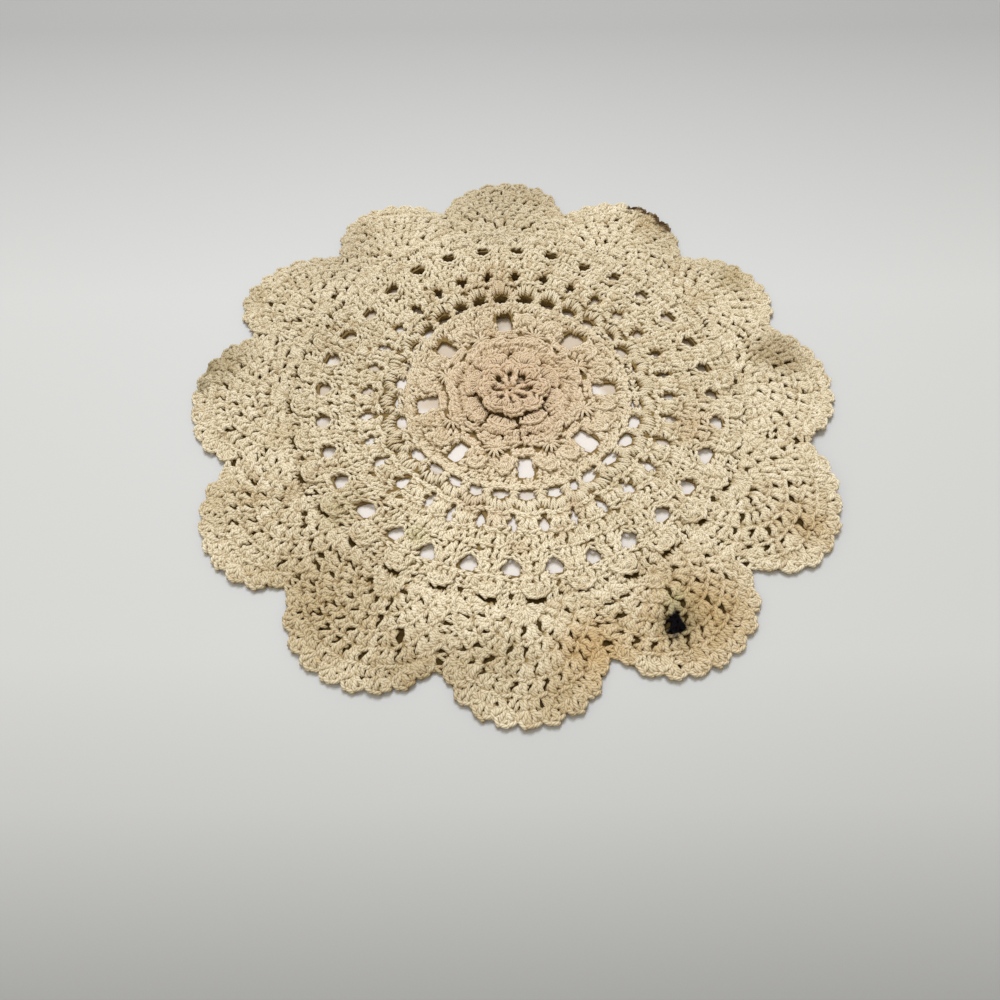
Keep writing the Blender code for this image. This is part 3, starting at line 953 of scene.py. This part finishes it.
# %% A shell of four posts
GAP = 5.6  # degrees from a column to the gap beside it
FEET = np.array([-1.0, -0.36, 0.36, 1.0])  # places of a shell's posts, in half its spread
PUFF = 0.50  # how much higher a shell's middle is, millimetres
SHELL_ROUNDS = (
    # foot: spread in degrees, radius and swell; head: the same; width below and above;
    # height in millimetres
    (1.6, 0.500, 0.004, 2.9, 0.546, 0.007, 0.016, 0.021, 0.15),
    (1.7, 0.562, 0.008, 3.0, 0.604, 0.006, 0.017, 0.023, 0.05),
    (2.2, 0.612, 0.000, 2.9, 0.648, 0.004, 0.019, 0.021, 0.05),
    (1.9, 0.654, 0.004, 2.8, 0.692, 0.000, 0.018, 0.021, 0.15),
)


def swell(angle, radius, mid, much):
    """A point whose round bows outwards over each column, so that no round is a circle."""
    return polar(angle, radius + much * np.cos(np.radians((np.asarray(angle) - mid) * 32)))


def shell(thread, mid, spread, foot, bow, spread_top, head, bow_top, wide, wide_top, up):
    """Four posts that spread upwards, the middle ones higher than the others."""
    thread.stamp(POST, swell(mid + spread * FEET, foot, mid, bow),
                 swell(mid + spread_top * FEET, head, mid, bow_top), wide, wide_top,
                 up=up + PUFF * (1 - FEET**2), girth=STOUT)


print("rounds of shells:", len(SHELL_ROUNDS))

# %% The middle rounds
middle = Thread()
for mid in COLUMNS:
    gap = mid + GAP
    shell(middle, mid, *SHELL_ROUNDS[0])
    middle.braid(swell(mid + np.linspace(-4.2, 4.2, 5), 0.556, mid, 0.006), 0.018, up=0.1)
    shell(middle, mid, *SHELL_ROUNDS[1])
    middle.stamp(TREBLE, polar(gap + np.array([-1.4, 1.1]), 0.556),
                 polar(gap + np.array([-1.2, 1.2]), 0.592), 0.024, up=-0.05)
    middle.stamp(SHORT, polar(gap + np.array([-2.6, -0.9, 0.9, 2.6]), 0.594),
                 polar(gap + np.array([-2.8, -1.0, 1.0, 2.8]), 0.614), 0.020, up=0.1)
    shell(middle, mid, *SHELL_ROUNDS[2])
    shell(middle, mid, *SHELL_ROUNDS[3])
    # the kite's two inner edges
    for side in (-1, 1):
        line = polar(gap + side * np.array([0.2, 1.9, 3.2, 3.9]),
                     np.array([0.630, 0.641, 0.657, 0.680]))
        middle.braid(line[::side], 0.024, up=0.7, shape=RIM)
    middle.braid(polar(gap + np.linspace(-3.8, 3.8, 5), 0.704), 0.020, up=0.3)
middle_piece = sewn("middle_rounds", middle, COTTON)

# %% [markdown]
# ## The small leaves
# The next round closes the kites and carries a small raised leaf on every column. They could
# share the middle rounds' object. As an object of their own they can be hidden or changed
# without the others.

# %% The small leaves, one on every column
leaves = Thread()
for mid in COLUMNS:
    gap = mid + GAP
    leaves.stamp(POST, polar(mid + np.linspace(-2.0, 2.0, 4), 0.688),
                 polar(mid + np.linspace(-2.4, 2.4, 4), 0.720), 0.016, 0.018, up=0.1,
                 girth=STOUT)
    leaf(leaves, mid, 0.722, 0.043, 0.042, up=0.9)
    across = np.linspace(-2.8, 2.8, 4)
    leaves.stamp(POST, swell(gap + across, 0.706, gap, 0.004),
                 swell(gap + 0.9 * across, 0.736, gap, 0.004), 0.022, girth=STOUT)
    leaves.stamp(TREBLE, polar([gap - 2.9, gap - 1.6, gap + 1.6, gap + 2.9], 0.738),
                 polar([gap - 2.5, gap - 0.9, gap + 0.9, gap + 2.5], 0.770), 0.020, up=-0.1)
    spin = mid + np.linspace(-5.0, 4.0, 6)
    leaves.stamp(SHORT, swell(spin, 0.774, mid, 0.003), swell(spin, 0.800, mid, 0.003), 0.024)
leaf_piece = sewn("shells", leaves, COTTON)

# %% [markdown]
# ## The scallops
# Each scallop grows from one point on the last round: a fan, then rows of Vs that leave
# dark dimples. One scallop could be copied twelve times, but the eye finds a copy at once.
# So the rows are worked anew each time, as arcs about that point, and cut off where they
# meet the next scallop.

# %% A scallop's fan, valley and rows
ROOT = 0.785  # radius of the point that a scallop grows from
ROWS_HALF = 15.8  # half of the sector that a scallop's rows keep to, degrees
V_FOOT, V_HEAD = 0.12, 0.25  # how far a V's legs stand from its axis, in steps of its row
V_WIDE, V_WIDE_TOP = 0.025, 0.028
ROWS = (
    # from, to (distance from the root), number of Vs, reach in degrees
    (0.062, 0.108, 6, 80),
    (0.111, 0.156, 10, 90),
    (0.159, 0.205, 13, 92),
    (0.208, 0.254, 14, 78),
)
VALLEY = (
    # radius of a chain between two scallops, and half its length in degrees
    (0.815, 3.2),
    (0.842, 2.6),
    (0.870, 2.4),
    (0.898, 2.6),
    (0.926, 2.8),
    (0.954, 2.6),
    (0.980, 2.2),
)


def kept(points, centre, half):
    """True for the points on this scallop's side of its notches."""
    a = np.degrees(np.arctan2(points[..., 1], points[..., 0]))
    return np.abs((a - centre + 180) % 360 - 180) < half


def scallop_fan(thread, mid):
    """Eight tall stitches that spread from the root."""
    spin = np.array([-80, -52, -28, -11, 11, 28, 52, 80])
    thread.stamp(TREBLE, about(mid, ROOT, spin, 0.006), about(mid, ROOT, spin, 0.050), 0.012,
                 0.022, up=0.3, girth=STOUT)


def scallop_rows(thread, mid):
    """Chains that draw the valley to the next scallop together, then four rows of Vs."""
    for radius, half in VALLEY:
        thread.braid(polar(mid + SECTOR / 2 + np.linspace(-half, half, 4),
                           radius + rng.normal(0, 0.004, 4)), 0.024, up=-0.1)
    for near, far, count, reach in ROWS:
        spin = np.linspace(-reach, reach, count)
        step = spin[1] - spin[0]
        spin = spin + rng.normal(0, 0.05 * step, count)
        for side in (-1, 1):
            feet = about(mid, ROOT, spin + side * V_FOOT * step, near)
            heads = about(mid, ROOT, spin + side * V_HEAD * step, far)
            keep = kept(heads, mid, ROWS_HALF)
            cells = feet[keep], heads[keep], V_WIDE, V_WIDE_TOP
            thread.stamp(POST, *cells, up=0.2, girth=1.26, wild=0.9)
            thread.stamp(LEGS[:1], *cells, up=0.15, girth=1.15, wild=0.8)


print("rows on a scallop:", len(ROWS), "chains in a valley:", len(VALLEY))

# %% [markdown]
# ## The edging
# Nine small lobes run round each scallop. A plain wavy line would do for a rim seen from
# afar. Close to, each lobe is a little bow of strands under a braid, worked over short
# legs, and the two beside a notch are smaller. So that is how each is made.

# %% A scallop's edging
LOBES, LOBE_STEP = 9, 12.6  # lobes on a scallop, and degrees between them about the root
LOBE_TALL, LOBE_WIDE = 0.048, 0.042  # from a lobe's foot to its tip and to its side
LOBE_SPREAD, LOBE_ARCH = 66, 84  # half the angles that its bow and its braid cover, degrees
BOW_FROM, BOW_TO, BRAID_AT = 0.14, 0.82, 0.84  # shares of the way to its rim
LOBE_AT, LAST_AT = 0.284, 0.260  # how far from the root the lobes begin, and the last ones
LAST_SMALLER = 0.14  # share by which the last lobes are smaller
EDGE_FROM, EDGE_TO = 0.256, 0.290  # how far from the root their legs begin and end
EDGE_FEET = np.array([-4.2, 0.0, 4.2])  # degrees from a lobe's middle, about the root
EDGE_HEADS = np.array([-4.0, 0.0, 4.0])
EDGE_HALF = 15.0  # half of the sector that the legs keep to, degrees


def lobe_arc(foot, angle, spin, share, size):
    """Points on a lobe that grows from `foot` towards `angle`; spin in degrees."""
    axis = polar(angle, 1.0)
    across = np.array([-axis[1], axis[0]])
    spin = np.radians(spin)[:, None]
    tall, wide = LOBE_TALL * size, LOBE_WIDE * size
    return foot + share * (np.cos(spin) * tall * axis + np.sin(spin) * wide * across)


def scallop_edging(thread, mid):
    """The lobes of one scallop."""
    middle_lobe = LOBES // 2
    for lobe in range(LOBES):
        turn = -LOBE_STEP * middle_lobe + LOBE_STEP * lobe
        feet = about(mid, ROOT, turn + EDGE_FEET, EDGE_FROM)
        heads = about(mid, ROOT, turn + EDGE_HEADS, EDGE_TO)
        keep = kept(heads, mid, EDGE_HALF)
        thread.stamp(LEGS, feet[keep], heads[keep], 0.026, up=0.2, girth=1.25, wild=1.3)
        last = abs(lobe / middle_lobe - 1) ** 3  # 1 for the two lobes beside a notch
        foot = about(mid, ROOT, turn, LOBE_AT - (LOBE_AT - LAST_AT) * last)
        size = 1 - LAST_SMALLER * last
        spin = np.linspace(-LOBE_SPREAD, LOBE_SPREAD, 5) + rng.normal(0, 5, 5)
        thread.stamp(COIL, lobe_arc(foot, mid + turn, spin, BOW_FROM, size),
                     lobe_arc(foot, mid + turn, spin, BOW_TO, size), 0.020, up=0.2, girth=1.3,
                     wild=0.9)
        spin = np.linspace(-LOBE_ARCH, LOBE_ARCH, 6)
        thread.braid(lobe_arc(foot, mid + turn, spin, BRAID_AT, size), 0.024, up=0.15,
                     girth=1.15, shape=RIM)


print("lobes on a scallop:", LOBES)

# %% The twelve scallops
fan_part, row_part, edge_part = Thread(), Thread(), Thread()
for k in range(12):
    mid = FIRST + SECTOR / 2 + SECTOR * k
    scallop_fan(fan_part, mid)
    scallop_rows(row_part, mid)
    scallop_edging(edge_part, mid)
scallop_fan_piece = sewn("scallop_fans", fan_part, COTTON)
row_piece = sewn("scallop_rows", row_part, COTTON)
edge_piece = sewn("edging", edge_part, COTTON)

# %% [markdown]
# ## The ground
# Under the top strands the fabric is a closed, shaded layer of the same thread. A thin
# copy of the CAD sheet stands for it, with the same rim and gaps, drawn in a little so that
# it never shows beyond the stitches. It could be drawn anew, but a copy has the CAD's gaps
# exactly where they are.

# %% A copy of the CAD's sheet
WELD = 1e-6  # corners closer than this are one, metres

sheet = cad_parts["doily"].data.copy()
sheet.name = "ground"
# the CAD's mesh is loose triangles, so the copy's corners are merged first
merged = bmesh.new()
merged.from_mesh(sheet)
bmesh.ops.remove_doubles(merged, verts=merged.verts, dist=WELD)
merged.to_mesh(sheet)
merged.free()
sheet.shade_flat()
print("corners of the sheet, merged:", len(sheet.vertices))


# %% The rim of the stitches
def rim_radius(directions):
    """How far the stitches reach in the directions (n, 2) from the middle, in units."""
    angles = FIRST + np.arange(720) / 2
    bulge = TIP - (TIP - 1) * np.abs((angles - FIRST) / (SECTOR / 2) % 2 - 1) ** BOW
    rim = place(polar(angles, bulge)) - MIDDLE
    heading, far = np.arctan2(rim[:, 1], rim[:, 0]), np.hypot(rim[:, 0], rim[:, 1]) / UNIT
    order = np.argsort(heading)
    return np.interp(np.arctan2(directions[:, 1], directions[:, 0]), heading[order], far[order],
                     period=2 * math.pi)


print("the rim's reach at twelve places:", rim_radius(ring(1.0, 12)).round(3))

# %% The ground sheet
SHEET_TOP = 0.0012  # the CAD's top lies further than this over the hills, metres
GROUND_TOP, GROUND_UNDER = 0.0009, 0.0001  # heights of the ground's two faces, metres
UNDER_RISE = 0.25  # share of a hill that the lower face rises
DRAWN_IN = 0.017  # how far the ground's rim is drawn in, as a share of its radius
INSIDE_RIM = 0.972  # the furthest it reaches, as a share of the stitches' rim

corners = np.empty(len(sheet.vertices) * 3, np.float32)
sheet.vertices.foreach_get("co", corners)
corners = corners.reshape(-1, 3).astype(float)
from_middle = corners[:, :2] - MIDDLE
radii = np.hypot(from_middle[:, 0], from_middle[:, 1]) / UNIT
hills = rise(corners[:, :2])
on_top = corners[:, 2] > hills + SHEET_TOP
corners[:, 2] = np.where(on_top, hills + GROUND_TOP, UNDER_RISE * hills + GROUND_UNDER)
shrink = np.minimum(1 - DRAWN_IN * smooth(radii, 0.9, 1.0),
                    INSIDE_RIM * rim_radius(from_middle) / np.maximum(radii, 0.5))
corners[:, :2] = from_middle * shrink[:, None] + MIDDLE
sheet.vertices.foreach_set("co", corners.astype(np.float32).ravel())
sheet.update()
ground = bpy.data.objects.new("ground", sheet)
bpy.context.collection.objects.link(ground)
sheet.materials.clear()
sheet.materials.append(SHADED_GROUND)
print("ground:", len(corners), "points, of them on top:", int(on_top.sum()))

# %% [markdown]
# ## On the frame
# The mat is one body, so all its pieces ride on the frame's root. The ground takes the place of
# the CAD's sheet. The real mat is limp.

# %% Ride on the frame
stitched = [rose_piece, star_piece, fan_piece, middle_piece, leaf_piece, scallop_fan_piece,
            row_piece, edge_piece]
for piece in [ground, *stitched]:
    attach(piece, "root")
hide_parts("doily")
print("pieces on the root:", 1 + len(stitched))

# %% [markdown]
# ## The table top
# The mat lies on something pale and matt. A plain grey would do for the table. But it gets
# painted shade towards the front and the back, where the light falls off, and what shows through
# the gaps is painted lighter than the rest, with painted brownish shade towards the back. So the
# finish changes with the distance from the mat's middle, and from front to back.

# %% The table top
FLOOR = 6  # metres across
# painted shade: the floor darkens towards the front and the back, as the light falls off
PAINTED_FALLOFF = (
    # place from front to back, colour
    (0.02, (0.25, 0.25, 0.241)),
    (0.13, (0.41, 0.41, 0.39975)),
    (0.22, (0.47, 0.47, 0.45825)),
    (0.55, (0.475, 0.475, 0.463125)),
    (1.00, (0.292, 0.292, 0.285)),
)
FRONT, PER_METRE = 0.2, 2.2  # metres from the ramp's start to the middle, and its scale
UNDER_CLOTH = 0.094  # radius of the patch under the cloth with painted light and painted shade, metres
WARM_SHADE_PAINT, PAINTED_LIGHT = (0.46, 0.375, 0.275), (0.63, 0.583, 0.53)  # painted warm shade at the back and painted light at the front, under the cloth
FADE_FROM, FADE_TO = 0.44, 0.58  # the noise between which one becomes the other
FADE_SLOPE = -3.2  # how fast the painted warm shade takes over towards the back, per metre


def table_finish():
    """Pale and matt, with painted shade towards both ends, and painted light and warm shade
    under the cloth.
    """
    mat, tree = new_finish("table_top")
    where = add_node(tree, "ShaderNodeTexCoord").outputs["Object"]
    split = add_node(tree, "ShaderNodeSeparateXYZ", {"Vector": where})
    back = math_node(tree, "ADD", split.outputs["Y"], FRONT)
    falloff_colour = ramp(tree, math_node(tree, "MULTIPLY", back, PER_METRE), PAINTED_FALLOFF)
    light_patches = add_node(tree, "ShaderNodeTexNoise", {"Vector": where, "Scale": 60, "Detail": 1})
    slope = math_node(tree, "MULTIPLY", split.outputs["Y"], FADE_SLOPE)
    lit_share = add_node(tree, "ShaderNodeMapRange",
                     {"Value": math_node(tree, "ADD", light_patches.outputs["Fac"], slope),
                      "From Min": FADE_FROM, "From Max": FADE_TO})
    under_cloth_paint = mix(tree, lit_share.outputs["Result"], WARM_SHADE_PAINT, PAINTED_LIGHT)
    apart = add_node(tree, "ShaderNodeVectorMath", {0: where}, operation="LENGTH")
    under = math_node(tree, "LESS_THAN", apart.outputs["Value"], UNDER_CLOTH)
    join(tree, tree.nodes["Principled BSDF"],
         {"Base Color": mix(tree, under, falloff_colour, under_cloth_paint), "Roughness": 0.6})
    return mat


bpy.ops.mesh.primitive_plane_add(size=FLOOR)
floor = bpy.context.object
floor.name = "floor"
floor.data.materials.append(table_finish())
print("floor:", tuple(floor.dimensions), "finish:", floor.data.materials[0].name)

# %% [markdown]
# ## The camera
# The mat is seen from in front and from well above, through a wide lens. A camera could be
# aimed with a constraint. Here its three axes are worked out from the angle at which it looks
# down and from its tilt, so both can be set exactly.

# %% Camera
LENS, SENSOR = 24.98, 36  # millimetres
DIP, ROLL = math.radians(60.28), math.radians(-0.368)
EYE = Vector((-0.0513, -1.5144, 1.9098))  # from the middle of the rounds, in units

camera = bpy.data.objects.new("camera", bpy.data.cameras.new("camera"))
bpy.context.collection.objects.link(camera)
camera.data.sensor_width = SENSOR
camera.data.lens = LENS
camera.data.clip_start = 0.01
forward = Vector((0, math.cos(DIP), -math.sin(DIP)))
level_up = Vector((0, math.sin(DIP), math.cos(DIP)))
level_right = Vector((1, 0, 0))
right = level_right * math.cos(ROLL) + level_up * math.sin(ROLL)
up = -level_right * math.sin(ROLL) + level_up * math.cos(ROLL)
eye = EYE * UNIT + Vector((*MIDDLE, 0))
axes = Matrix((right, up, -forward)).transposed().to_4x4()
camera.matrix_world = Matrix.Translation(eye) @ axes
bpy.context.scene.camera = camera
print("camera at", tuple(round(value, 4) for value in eye))

# %% [markdown]
# ## The light
# Soft daylight comes from behind the mat, and the room sends back a warmer light from
# everywhere. A sun lamp would draw hard shadows under every strand. A large cool area lamp
# for the window, a weak one at the side and a warm sky give soft ones with some direction.

# %% Light
SKY, SKY_STRENGTH = (1.08, 1.0, 0.85), 0.54
DAYLIGHT = (0.853, 0.904, 1.0)


def lamp(name, size, power, spot, aim, colour):
    """A square area lamp at `spot`, in watts, turned towards `aim`."""
    data = bpy.data.lights.new(name, "AREA")
    data.size = size
    data.energy = power
    data.color = colour
    light = bpy.data.objects.new(name, data)
    bpy.context.collection.objects.link(light)
    light.location = spot
    light.rotation_mode = "QUATERNION"
    light.rotation_quaternion = (Vector(aim) - Vector(spot)).to_track_quat("-Z", "Y")
    print(name, ":", power, "watts from", spot)


world = bpy.data.worlds.new("sky")
world.use_nodes = True
join(world.node_tree, world.node_tree.nodes["Background"],
     {"Color": SKY, "Strength": SKY_STRENGTH})
bpy.context.scene.world = world
lamp("key", size=0.55, power=21.35, spot=(-0.04, 0.69, 1.32), aim=(0, 0, 0), colour=DAYLIGHT)
lamp("fill", size=1.2, power=3.0, spot=(-0.5, -0.2, 1.0), aim=(0, 0.05, 0), colour=(1, 1, 1))
bpy.context.scene.view_settings.view_transform = "Standard"
